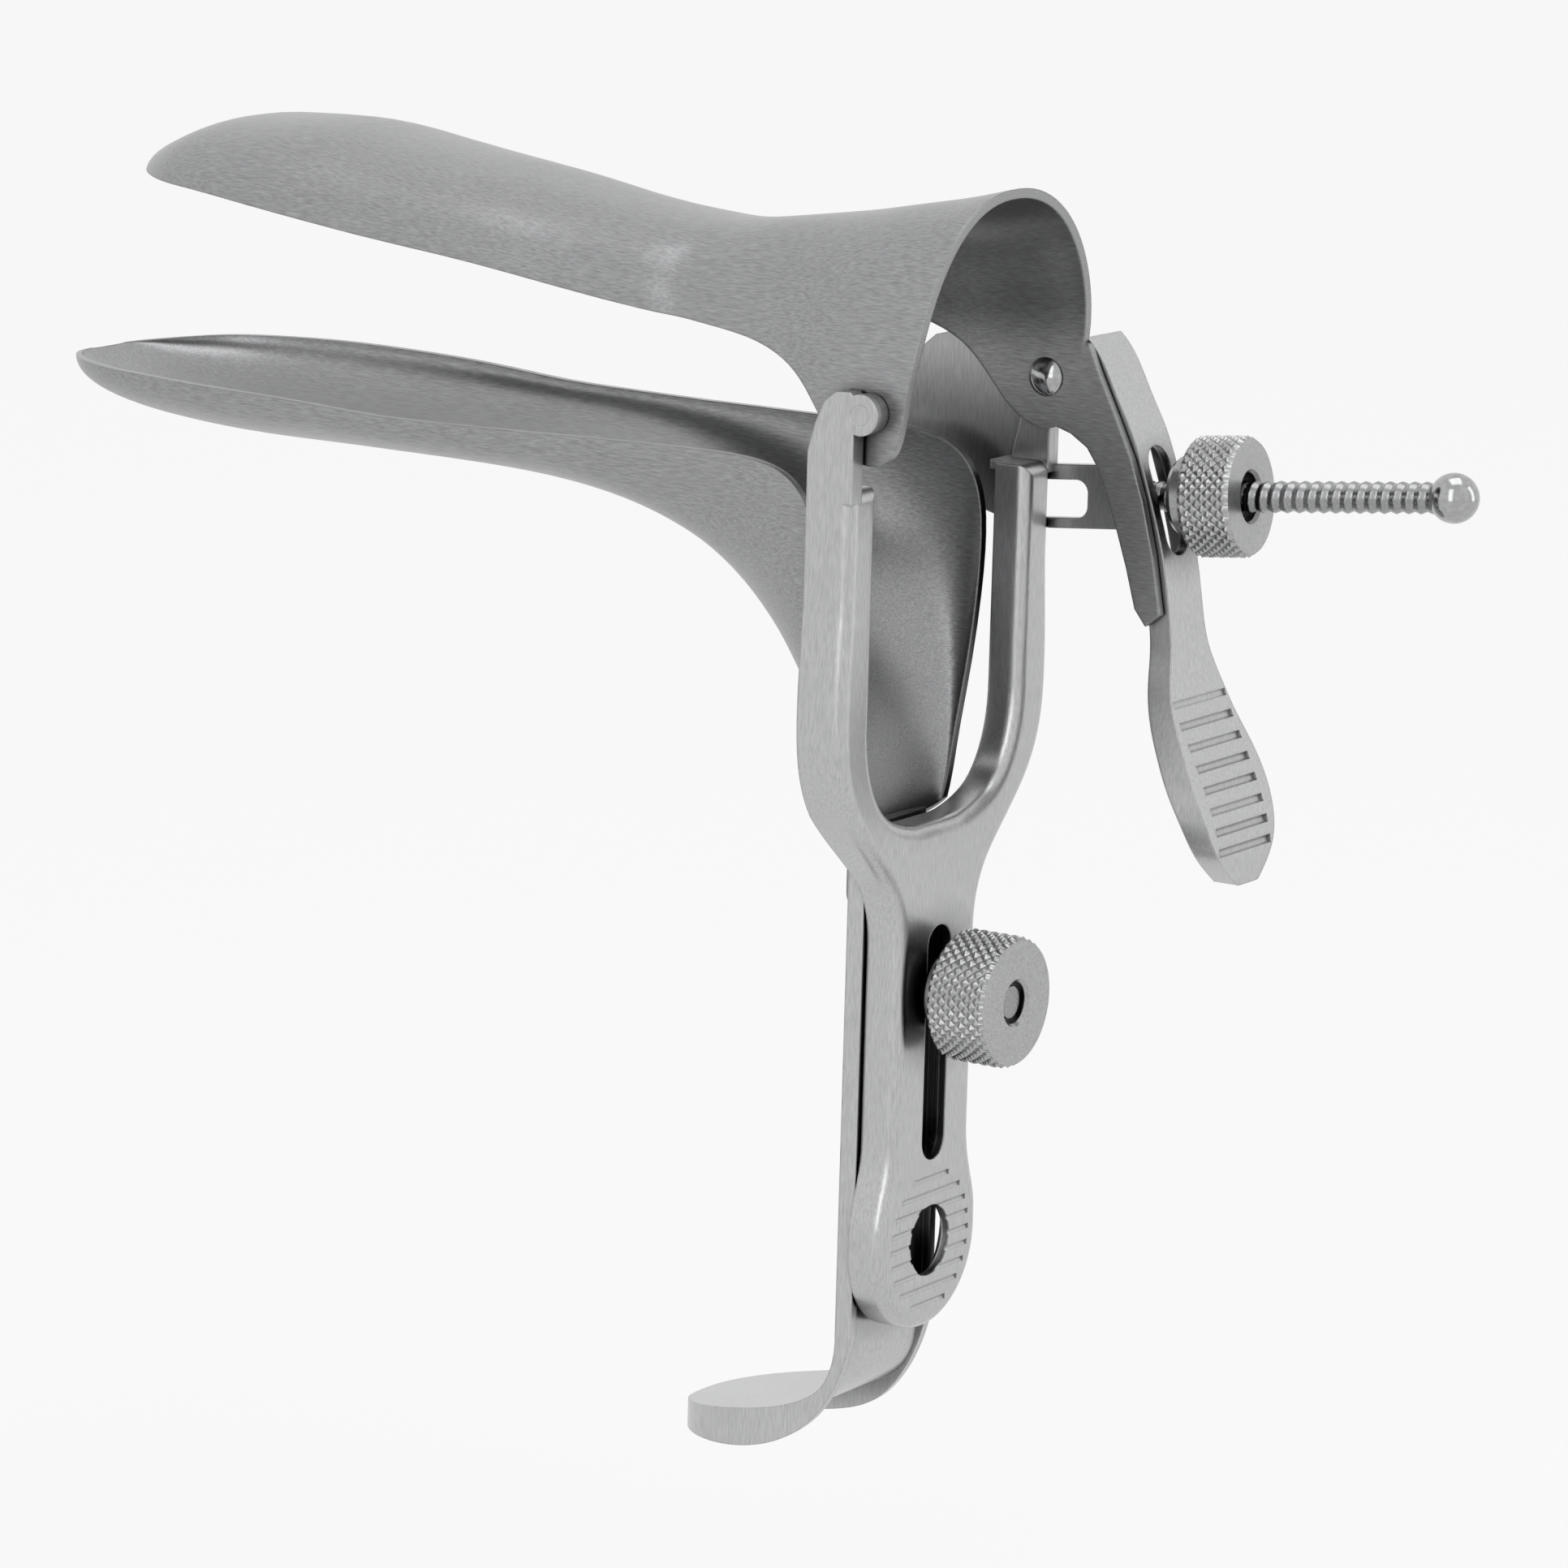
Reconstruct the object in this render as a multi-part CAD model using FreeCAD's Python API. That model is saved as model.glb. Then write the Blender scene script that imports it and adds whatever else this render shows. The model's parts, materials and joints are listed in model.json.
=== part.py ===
import FreeCAD, Part
import math
import os

# Bivalve speculum in its open pose. Lengths are in millimetres.
# X runs along the hinge to the lever side, Y forward to the blade tips, Z up.
# Shapes are drawn from the middle of the hinge axis, then moved as one so that the
# origin lies on the axis of the finger hole, in the front face of the finger plate.

V = FreeCAD.Vector

# yoke
SHEET = 1.2
WEB_Y = 0.8
LUG_T = 1.2
EAR_OUT = 20.4
EAR_TO_LUG = 1.5
ARM_OUT_TOP = EAR_OUT + EAR_TO_LUG + LUG_T
ARM_OUT = ARM_OUT_TOP + 0.7
ARM_IN = 16.9
ARM_IN_TOP = EAR_OUT + 0.4
ARM_STEP_Z = -9.5
ARM_STEP_Z_RIGHT = -11.0
ARM_TOP_Z = 2.6
ARM_DEPTH = 6.4
INNER_DEPTH = 4.6
U_BOTTOM_Z = -53.0
U_SHOULDER_Z = -38.0
LUG_R = 2.5
STEM_HALF = 8.9
STEM_DEPTH = 4.85
SLOT_TOP_Z = -65.9
SLOT_BOTTOM_Z = -95.7
SLOT_HALF = 2.6
FINGER_Z = -106.0
FINGER_R = 11.3
FINGER_HOLE_R = 4.5
YOKE_EDGE_R = 1.7
CREASE_R = 0.6

# hinge
RIVET_R = 1.2
RIVET_FIT = 0.05
RIVET_HEAD_R = 2.4
RIVET_HEAD_H = 1.1
COLLAR_R = 2.4
COLLAR_GAP = 0.1
RIVET_TAIL_R = 2.3
RIVET_TAIL_H = 0.6

# upper blade
BLADE_T = 1.2
STRIP_INSET = 0.06
MOUTH_Y = -6.6
MOUTH_TOP_Z = 25.5

# lever
LEVER_GAP = 0.1
LEVER_T = 1.2
LEVER_CHANNEL = 5.6
LEVER_SLOT_HALF = 2.5
LEVER_SLOT_TOP_Z = -7.8
LEVER_SLOT_BOTTOM_Z = -21.0
LEVER_SLOT_REAR_Y = -22.0
LEVER_SLOT_THROUGH = 14.0
PAD_HALF = 8.5
PAD_RIB_COUNT = 8
RIB_GROOVE_R = 0.55
RIB_DEPTH = 0.35
FINGER_GROOVE_R = 0.4
FINGER_GROOVE_DEPTH = 0.22
FINGER_RIB_COUNT = 9
FINGER_RIB_STEP = 2.0

# bracket, rod and nuts
BRACKET_T = 1.3
TONGUE_TOP_Z = -11.4
TONGUE_BOTTOM_Z = -19.4
TONGUE_END_Y = -10.7
WINDOW_TOP_Z = -13.3
WINDOW_BOTTOM_Z = -18.1
WINDOW_FRONT_Y = 3.0
WINDOW_REAR_Y = -4.3
WINDOW_CORNER_R = 1.6
BRACKET_FRONT_Y = 24.0
BRACKET_RIVET_Y = 4.4
BRACKET_RIVET_Z = -15.6
BRACKET_RIVET_R = 1.0
BRACKET_RIVET_HEAD_R = 1.7
BRACKET_RIVET_HEAD_H = 0.5
BRACKET_RIVET_TAIL_R = 1.5
BRACKET_RIVET_TAIL_H = 0.4
ROD_R = 2.0
ROD_START_Y = -8.2
ROD_Z = -14.5
ROD_YAW = math.radians(6.0)
ROD_PITCH = math.radians(5.4)
ROD_LENGTH = 42.5
BALL_R = 3.1
SIDE_NUT_AT = 8.2
SIDE_NUT_R = 7.55
SIDE_HUB_R = 5.0
SIDE_HUB_H = 3.0
SIDE_NUT_H = 6.8
NUT_EDGE = 0.5
NUT_BORE_FIT = 0.08
STEM_NUT_R = 8.25
STEM_HUB_R = 5.2
STEM_HUB_H = 3.0
STEM_NUT_H = 8.0
STUD_R = 2.0
STUD_Z = -74.1
STUD_RECESS = 0.8
NUT_SEAT = 0.3

# lower blade and slide bar
BAR_HALF = 9.5
BAR_BACK_Y = 8.3
BAR_FLANGE_GAP = 0.3
BAR_T = 1.2
BAR_TOP_Z = -54.5
BAR_HOLE_R = 4.9
BAR_RIVET_R = 1.6
TOE_REACH = 34.0
TOE_START_Z = -117.4
TOE_HALF = 10.8
TAIL_HALF = 8.0
TAIL_TOP_Z = -53.5
TAIL_BOTTOM_Z = -64.0
BAR_RIVET_EDGE = 4.5
BAR_RIVET_Z = TAIL_BOTTOM_Z + BAR_RIVET_EDGE


def spline(points):
    curve = Part.BSplineCurve()
    curve.interpolate(points)
    return curve.toShape()


def poly_prism(points, x0, x1):
    """Prism along X from (y, z) points."""
    wire = Part.makePolygon([V(x0, y, z) for y, z in points + points[:1]])
    return Part.Face(wire).extrude(V(x1 - x0, 0, 0))


def arch(half, rim_a, top_a, inset, power=2.2, n=9):
    """Half-superellipse points from one rim over the crown to the other.

    rim_a and top_a are (y, z) of the rim level and of the crown centre.
    """
    pts = []
    dy = top_a[0] - rim_a[0]
    dz = top_a[1] - rim_a[1]
    depth = math.hypot(dy, dz)
    uy = dy / depth
    uz = dz / depth
    w = half - inset
    h = depth - inset
    for i in range(2 * n + 1):
        a = math.pi * i / (2 * n)
        c = math.cos(a)
        s = math.sin(a)
        x = w * math.copysign(abs(c) ** (2.0 / power), c) if abs(c) > 1e-9 else 0.0
        d = h * abs(s) ** (2.0 / power) if s > 1e-9 else 0.0
        pts.append(V(x, rim_a[0] + uy * d, rim_a[1] + uz * d))
    return pts


def trough_section(half, rim, crown, thick, power=2.2):
    """Closed wire of a thin trough section: outer arch, rim edge, inner arch, rim edge."""
    outer = arch(half, rim, crown, 0.0, power)
    inner = arch(half, rim, crown, thick, power)
    edges = [
        spline(outer),
        Part.makeLine(outer[-1], inner[-1]),
        spline(list(reversed(inner))),
        Part.makeLine(inner[0], outer[0]),
    ]
    return Part.Wire(edges)


def legged_section(half, spring_z, crown_z, leg_z, y, thick):
    """Arch with straight legs down to leg_z, as one thin closed wire at station y."""
    def line(inset):
        pts = arch(half, (y, spring_z), (y, crown_z), inset)
        x = half - inset
        drop = spring_z - leg_z
        leg = [V(x, y, leg_z + drop * k / 3.0) for k in range(3)]
        far = [V(-p.x, p.y, p.z) for p in reversed(leg)]
        return leg + pts + far
    outer = line(0.0)
    inner = line(thick)
    return Part.Wire([
        spline(outer),
        Part.makeLine(outer[-1], inner[-1]),
        spline(list(reversed(inner))),
        Part.makeLine(inner[0], outer[0]),
    ])


def x_cylinder(radius, x0, x1, y=0.0, z=0.0):
    return Part.makeCylinder(radius, x1 - x0, V(x0, y, z), V(1, 0, 0))


def xz_face(wires_edges, y):
    """Face in an XZ plane from edges already placed at that y."""
    wire = Part.Wire(Part.__sortEdges__(wires_edges))
    return Part.Face(wire)


def along_normals(points, inset, first, last, way):
    """Points moved by inset along the normals of their polyline."""
    moved = []
    for k, p in enumerate(points):
        if k == 0:
            nx, nz = first
        elif k == len(points) - 1:
            nx, nz = last
        else:
            tx = points[k + 1][0] - points[k - 1][0]
            tz = points[k + 1][1] - points[k - 1][1]
            length = math.hypot(tx, tz)
            nx, nz = way * tz / length, -way * tx / length
        moved.append((p[0] + nx * inset, p[1] + nz * inset))
    return moved


def cradle_edges(y, inset):
    """Bottom of the U opening, grown by inset into the sheet."""
    points = [(ARM_IN, U_SHOULDER_Z), (16.3, -43.5), (14.4, -47.8), (11.0, -51.0),
              (6.0, -52.7), (0.0, U_BOTTOM_Z)]
    edges = []
    for s in (1.0, -1.0):
        c = Part.BSplineCurve()
        c.interpolate([V(s * x, y, z) for x, z
                       in along_normals(points, inset, (1.0, 0.0), (0.0, -1.0), -1.0)],
                      InitialTangent=V(0, 0, -1), FinalTangent=V(-s, 0, 0))
        edges.append(c.toShape())
    return edges


def outline_edges(y, inset):
    """Closed yoke outline (arms, U, stem, finger plate), inset all round."""
    out_top = ARM_OUT_TOP - inset
    arm_in = ARM_IN + inset
    stem = STEM_HALF - inset
    ring = FINGER_R - inset
    step_left = ARM_STEP_Z - inset
    step_right = ARM_STEP_Z_RIGHT - inset
    edges = []

    def seg(a, b):
        edges.append(Part.makeLine(V(a[0], y, a[1]), V(b[0], y, b[1])))

    def curve(points, t0, t1):
        c = Part.BSplineCurve()
        c.interpolate([V(p[0], y, p[1]) for p in points],
                      InitialTangent=V(t0[0], 0, t0[1]), FinalTangent=V(t1[0], 0, t1[1]))
        edges.append(c.toShape())

    shoulder = [(ARM_OUT_TOP, -22.0), (ARM_OUT - 0.45, -27.0), (ARM_OUT - 0.12, -32.0),
                (ARM_OUT, -38.0), (ARM_OUT - 0.7, -44.0), (ARM_OUT - 2.6, -48.6),
                (ARM_OUT - 5.3, -52.2), (ARM_OUT - 8.0, -55.0), (STEM_HALF + 4.2, -57.7),
                (STEM_HALF + 1.8, -60.7), (STEM_HALF + 0.4, -64.2), (STEM_HALF, -68.5)]
    moved = along_normals(shoulder, inset, (-1.0, 0.0), (-1.0, 0.0), 1.0)
    for s in (1.0, -1.0):
        step = step_right if s > 0 else step_left
        seg((s * out_top, step), (s * out_top, -22.0))
        curve([(s * p[0], p[1]) for p in moved], (0, -1), (0, -1))
        seg((s * stem, -68.5), (s * stem, -92.5))
        foot = [(stem, -92.5), (stem + 0.7, -97.3), (ring - 0.35, -101.6), (ring, FINGER_Z)]
        curve([(s * p[0], p[1]) for p in foot], (0, -1), (0, -1))
        arc = Part.Arc(V(s * ring, y, FINGER_Z),
                       V(s * ring * math.sqrt(0.5), y, FINGER_Z - ring * math.sqrt(0.5)),
                       V(0, y, FINGER_Z - ring))
        edges.append(arc.toShape())
        seg((s * arm_in, U_SHOULDER_Z), (s * arm_in, step))
        seg((s * arm_in, step), (s * out_top, step))
    return edges + cradle_edges(y, inset)


def make_yoke():
    y0 = WEB_Y
    face = xz_face(outline_edges(y0, 0.0), y0)
    body = face.extrude(V(0, ARM_DEPTH, 0))
    body = body.makeFillet(YOKE_EDGE_R, [e for e in body.Edges
                                         if abs(e.BoundBox.YMax - y0) < 1e-6])
    yp = y0 + SHEET
    pocket = xz_face(outline_edges(yp, SHEET), yp).extrude(V(0, ARM_DEPTH + 2.0, 0))
    pocket = pocket.makeFillet(CREASE_R, [e for e in pocket.Edges
                                          if abs(e.BoundBox.YMax - yp) < 1e-6])
    body = body.cut(pocket)
    # flange depths along the height
    back = y0 + ARM_DEPTH
    shallow = y0 + STEM_DEPTH
    trim = poly_prism([(back + 3, 6), (back, -10), (back, -50), (shallow, -60),
                       (shallow, -125), (back + 3, -125)], -40, 40)
    body = body.cut(trim)
    lip_y = y0 + INNER_DEPTH
    lip = cradle_edges(lip_y, SHEET + 0.4)
    x_top = ARM_IN + SHEET + 0.4
    lip += [Part.makeLine(V(x_top, lip_y, U_SHOULDER_Z), V(x_top, lip_y, 20)),
            Part.makeLine(V(x_top, lip_y, 20), V(-x_top, lip_y, 20)),
            Part.makeLine(V(-x_top, lip_y, 20), V(-x_top, lip_y, U_SHOULDER_Z))]
    body = body.cut(xz_face(lip, lip_y).extrude(V(0, 6, 0)))
    # stem slot and finger hole
    mid = (SLOT_TOP_Z + SLOT_BOTTOM_Z) / 2.0
    half = (SLOT_TOP_Z - SLOT_BOTTOM_Z) / 2.0 - SLOT_HALF
    slot = Part.makeBox(2 * SLOT_HALF, 4, 2 * half, V(-SLOT_HALF, y0 - 1, mid - half))
    for s in (1.0, -1.0):
        slot = slot.fuse(Part.makeCylinder(SLOT_HALF, 4, V(0, y0 - 1, mid + s * half),
                                           V(0, 1, 0)))
    body = body.cut(slot)
    body = body.cut(Part.makeCylinder(FINGER_HOLE_R, 4, V(0, y0 - 1, FINGER_Z), V(0, 1, 0)))
    # serration of the finger plate
    cuts = []
    for k in range(FINGER_RIB_COUNT):
        z = FINGER_Z + (k - (FINGER_RIB_COUNT - 1) / 2.0) * FINGER_RIB_STEP
        reach = math.sqrt(max((FINGER_R - 2.4) ** 2 - (z - FINGER_Z) ** 2, 1.0))
        cuts.append(x_cylinder(FINGER_GROOVE_R, -reach, reach,
                               y0 - FINGER_GROOVE_R + FINGER_GROOVE_DEPTH, z))
    body = body.cut(Part.makeCompound(cuts))
    # left arm head: narrow strip and hinge lug
    x_in = ARM_IN_TOP
    x_out = ARM_OUT_TOP
    strip = poly_prism([(y0, ARM_STEP_Z - 1.4), (y0, ARM_TOP_Z - 0.6), (y0 + 0.6, ARM_TOP_Z),
                        (y0 + 2.6, ARM_TOP_Z - 0.1), (y0 + 4.2, ARM_TOP_Z - 1.4),
                        (y0 + 5.4, ARM_TOP_Z - 4.0), (back, -5.0), (back, ARM_STEP_Z - 1.4)],
                       -x_out, -x_in)
    left_lug = x_cylinder(LUG_R, -x_out, -x_out + LUG_T)
    body = body.fuse(strip).fuse(left_lug)
    # right arm head: flat cheek with the hinge lug
    cheek = poly_prism([(y0, ARM_STEP_Z_RIGHT - 1.4), (y0, -2.0), (0.0, 0.0), (y0 + 3.0, 0.0),
                        (back - 1.0, ARM_STEP_Z_RIGHT), (back - 1.0, ARM_STEP_Z_RIGHT - 1.4)],
                       x_out - LUG_T, x_out)
    right_lug = x_cylinder(LUG_R, x_out - LUG_T, x_out)
    body = body.fuse(cheek).fuse(right_lug)
    body = body.cut(x_cylinder(COLLAR_R, -x_out + LUG_T, -x_in + 2))
    body = body.cut(x_cylinder(RIVET_R, -30, 30))
    body = body.cut(x_cylinder(BRACKET_RIVET_R, x_out - LUG_T - 0.1, x_out + 1.0,
                               BRACKET_RIVET_Y, BRACKET_RIVET_Z))
    return body.removeSplitter()


def rivet(sign, inner_face, outer_face, collar_to, tail_h):
    """Hinge rivet: domed head inside, shank, collar up to the lug, low tail outside."""
    keep = x_cylinder(RIVET_HEAD_R, inner_face - RIVET_HEAD_H, inner_face)
    dome = Part.makeSphere(3.2, V(inner_face + 3.2 - RIVET_HEAD_H, 0, 0)).common(keep)
    shank = x_cylinder(RIVET_R, inner_face - 0.1, outer_face)
    solid = dome.fuse(shank)
    if tail_h > 0:
        tail = x_cylinder(RIVET_TAIL_R, outer_face, outer_face + tail_h)
        tail = tail.makeChamfer(0.25, [e for e in tail.Edges
                                       if abs(e.BoundBox.XMin - outer_face - tail_h) < 1e-6])
        solid = solid.fuse(tail)
    if collar_to > 0:
        solid = solid.fuse(x_cylinder(COLLAR_R, collar_to, ARM_OUT_TOP - LUG_T))
    solid = solid.removeSplitter()
    if sign < 0:
        solid = solid.mirror(V(0, 0, 0), V(1, 0, 0))
    return solid


def make_upper_blade():
    # station, half width, spring height, crown height, leg end height
    stations = [
        (120.4, 3.6, 17.2, 18.9, 16.9),
        (119.2, 7.0, 17.1, 19.8, 16.7),
        (117.0, 10.9, 17.0, 21.0, 16.6),
        (113.4, 14.9, 16.9, 22.6, 16.4),
        (108.2, 18.4, 16.8, 24.5, 16.2),
        (101.0, 20.7, 16.2, 25.2, 15.6),
        (92.6, 21.8, 15.4, 25.3, 14.8),
        (83.0, 21.6, 14.1, 24.2, 13.4),
        (73.0, 21.0, 12.9, 22.8, 12.0),
        (61.0, 20.0, 11.4, 21.3, 10.4),
        (44.4, 18.3, 8.9, 19.0, 7.8),
        (34.6, 17.6, 7.4, 18.4, 4.0),
        (25.5, 17.4, 4.2, 19.2, -8.0),
        (19.0, 17.9, 2.0, 20.2, -8.0),
        (13.0, 19.0, 1.0, 21.2, -8.0),
        (7.5, 20.1, 1.0, 22.3, -8.0),
        (3.0, EAR_OUT, 1.0, 23.2, -8.0),
        (-2.0, EAR_OUT, 1.0, 24.3, -8.0),
        (MOUTH_Y, EAR_OUT, 1.0, MOUTH_TOP_Z, -8.0),
    ]
    wires = [legged_section(w, spring, crown, leg, y, BLADE_T)
             for y, w, spring, crown, leg in stations]
    shell = Part.makeLoft(wires, True, False)
    rim = [(106.9, 17.5), (94.6, 16.6), (84.6, 15.3), (73.2, 13.8), (61.4, 12.4),
           (44.4, 9.8), (30.7, 8.1), (23.6, 7.3), (19.0, 6.5), (15.4, 5.4), (12.6, 4.0),
           (10.4, 2.2), (8.7, 0.2), (7.0, -2.0), (4.8, -4.4), (2.2, -6.0), (-0.6, -6.4),
           (-2.8, -5.2), (-4.0, -2.6), (-4.7, 1.6), (-5.5, 6.0), (-6.0, 10.0),
           (-6.3, 14.0), (-6.5, 18.0), (MOUTH_Y, 22.0)]
    pts = [V(-30, y, z) for y, z in rim]
    edges = [
        spline(pts),
        Part.makeLine(pts[-1], V(-30, MOUTH_Y, 32)),
        Part.makeLine(V(-30, MOUTH_Y, 32), V(-30, 130, 32)),
        Part.makeLine(V(-30, 130, 32), V(-30, 130, 18.4)),
        Part.makeLine(V(-30, 130, 18.4), pts[0]),
    ]
    profile = Part.Face(Part.Wire(edges)).extrude(V(60, 0, 0))
    blade = shell.common(profile)
    # far ear runs on as a strip along the lever
    strip = poly_prism([(3.5, -1.0), (1.0, -5.6), (-1.5, -6.0), (-3.8, -6.7), (-6.2, -8.2),
                        (-7.6, -10.2), (-9.3, -13.8), (-10.9, -18.1), (-12.4, -22.5),
                        (-13.8, -27.4), (-15.4, -29.4), (-17.4, -27.8),
                        (-16.9, -25.0), (-16.1, -20.5), (-14.4, -14.0), (-12.6, -9.0),
                        (-10.4, -4.5), (-7.6, 1.0), (-6.0, 4.5), (-4.0, 5.0)],
                       EAR_OUT - BLADE_T + STRIP_INSET, EAR_OUT - STRIP_INSET)
    blade = blade.fuse(strip)
    blade = blade.cut(x_cylinder(RIVET_R + RIVET_FIT, -30, 30))
    return blade.removeSplitter()


LEVER_PATH = [(-5.0, 5.2), (-7.4, 2.4), (-9.7, -1.9), (-11.9, -5.9), (-13.5, -9.8),
              (-15.2, -14.8), (-16.9, -20.6), (-17.9, -26.0), (-18.8, -31.5), (-19.9, -36.5),
              (-21.4, -40.5), (-23.2, -44.0), (-24.9, -47.5), (-26.4, -51.0), (-27.5, -54.5),
              (-28.1, -58.0), (-28.4, -61.0)]
LEVER_FRONT = [(-25.2, -61.0), (-24.6, -57.5), (-23.4, -53.5), (-21.6, -49.5), (-19.8, -45.5),
               (-18.0, -41.5), (-16.7, -37.0), (-15.9, -33.0), (-15.1, -28.0), (-14.0, -21.0),
               (-12.3, -14.5), (-10.6, -10.0), (-8.0, -7.4), (-4.6, -5.4), (0.0, -4.4)]


def side_region(rear_offset, x0, x1):
    """Side view region of the lever between its rear face and its flange edges."""
    rear = []
    for k, p in enumerate(LEVER_PATH):
        a = LEVER_PATH[max(k - 1, 0)]
        b = LEVER_PATH[min(k + 1, len(LEVER_PATH) - 1)]
        tx, tz = b[0] - a[0], b[1] - a[1]
        length = math.hypot(tx, tz)
        rear.append(V(x0, p[0] - tz / length * rear_offset, p[1] + tx / length * rear_offset))
    if rear_offset > 0:
        front = [(-10.0, -64.0), (10.0, -64.0), (10.0, 12.0), (0.0, 12.0)]
        rear = [V(x0, rear[0].y, 12.0)] + rear + [V(x0, rear[-1].y, -64.0)]
        back_wire = [spline(rear[1:-1]), Part.makeLine(rear[0], rear[1]),
                     Part.makeLine(rear[-2], rear[-1])]
        pts = [rear[-1]] + [V(x0, y, z) for y, z in front[:3]] + [rear[0]]
        edges = back_wire + [Part.makeLine(pts[i], pts[i + 1]) for i in range(len(pts) - 1)]
    else:
        front = [V(x0, y, z) for y, z in LEVER_FRONT]
        top = V(x0, -1.0, 4.1)
        nose = V(x0, 4.1, 0.0)
        edges = [
            spline(rear),
            Part.makeLine(rear[-1], front[0]),
            spline(front),
            Part.Arc(front[-1], nose, V(x0, 0.0, 4.4)).toShape(),
            Part.makeLine(V(x0, 0.0, 4.4), rear[0]),
        ]
    wire = Part.Wire(Part.__sortEdges__(edges))
    return Part.Face(wire).extrude(V(x1 - x0, 0, 0))


def lever_front(inset, y0, y1):
    """Front view outline of the lever: narrow channel that widens into the thumb pad."""
    mid = EAR_OUT + LEVER_GAP + LEVER_T + LEVER_CHANNEL / 2.0
    neck = LEVER_CHANNEL / 2.0 + LEVER_T - inset
    pad = PAD_HALF - inset
    bottom = -60.6 + inset
    side = [(neck, -28.0), (neck + 0.35, -32.0), (neck + 2.2, -37.0), (pad - 1.0, -42.0),
            (pad, -47.0), (pad - 0.3, -52.5), (pad - 2.6, -57.6), (pad * 0.35, bottom + 0.35),
            (0.0, bottom)]
    edges = []
    for s in (1.0, -1.0):
        c = Part.BSplineCurve()
        c.interpolate([V(mid + s * x, y0, z) for x, z in side],
                      InitialTangent=V(0, 0, -1), FinalTangent=V(-s, 0, 0))
        edges.append(c.toShape())
        edges.append(Part.makeLine(V(mid + s * neck, y0, -28.0), V(mid + s * neck, y0, 14.0)))
    edges.append(Part.makeLine(V(mid + neck, y0, 14.0), V(mid - neck, y0, 14.0)))
    wire = Part.Wire(Part.__sortEdges__(edges))
    return Part.Face(wire).extrude(V(0, y1 - y0, 0))


def make_thumb_lever():
    outer = side_region(0.0, 10, 40).common(lever_front(0.0, -40, 20))
    inner = side_region(LEVER_T, 10, 40).common(lever_front(LEVER_T, -40, 20))
    lever = outer.cut(inner)
    x_in = EAR_OUT + LEVER_GAP
    # outer flange stops short of the bracket
    mid = x_in + LEVER_T + LEVER_CHANNEL / 2.0
    lever = lever.cut(poly_prism([(-1.5, 14.0), (-4.4, 5.5), (-6.3, 0.5), (-8.7, -4.5),
                                  (-10.6, -9.0), (-13.0, -16.0), (8.0, -16.0), (8.0, 14.0)],
                                 mid + 1.0, 40))
    low = LEVER_SLOT_BOTTOM_Z + LEVER_SLOT_HALF
    high = LEVER_SLOT_TOP_Z - LEVER_SLOT_HALF
    slot = Part.makeBox(2 * LEVER_SLOT_HALF, LEVER_SLOT_THROUGH, high - low,
                        V(mid - LEVER_SLOT_HALF, LEVER_SLOT_REAR_Y, low))
    for end in (low, high):
        slot = slot.fuse(Part.makeCylinder(LEVER_SLOT_HALF, LEVER_SLOT_THROUGH,
                                           V(mid, LEVER_SLOT_REAR_Y, end), V(0, 1, 0)))
    lever = lever.cut(slot)
    lever = lever.cut(x_cylinder(RIVET_R + RIVET_FIT, 18, 30))
    cuts = []
    first = (-20.6, -38.4)
    last = (-27.8, -56.0)
    for k in range(PAD_RIB_COUNT):
        t = k / (PAD_RIB_COUNT - 1.0)
        z = first[1] + (last[1] - first[1]) * t
        y = path_y(z)
        cuts.append(x_cylinder(RIB_GROOVE_R, mid - PAD_HALF + 2.2, mid + PAD_HALF - 2.2,
                               y - RIB_GROOVE_R + RIB_DEPTH, z))
    lever = lever.cut(Part.makeCompound(cuts))
    return lever.removeSplitter()


def path_y(z):
    """Rear face of the lever at height z."""
    for a, b in zip(LEVER_PATH, LEVER_PATH[1:]):
        if b[1] <= z <= a[1]:
            return a[0] + (b[0] - a[0]) * (z - a[1]) / (b[1] - a[1])
    return LEVER_PATH[-1][0]


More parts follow.
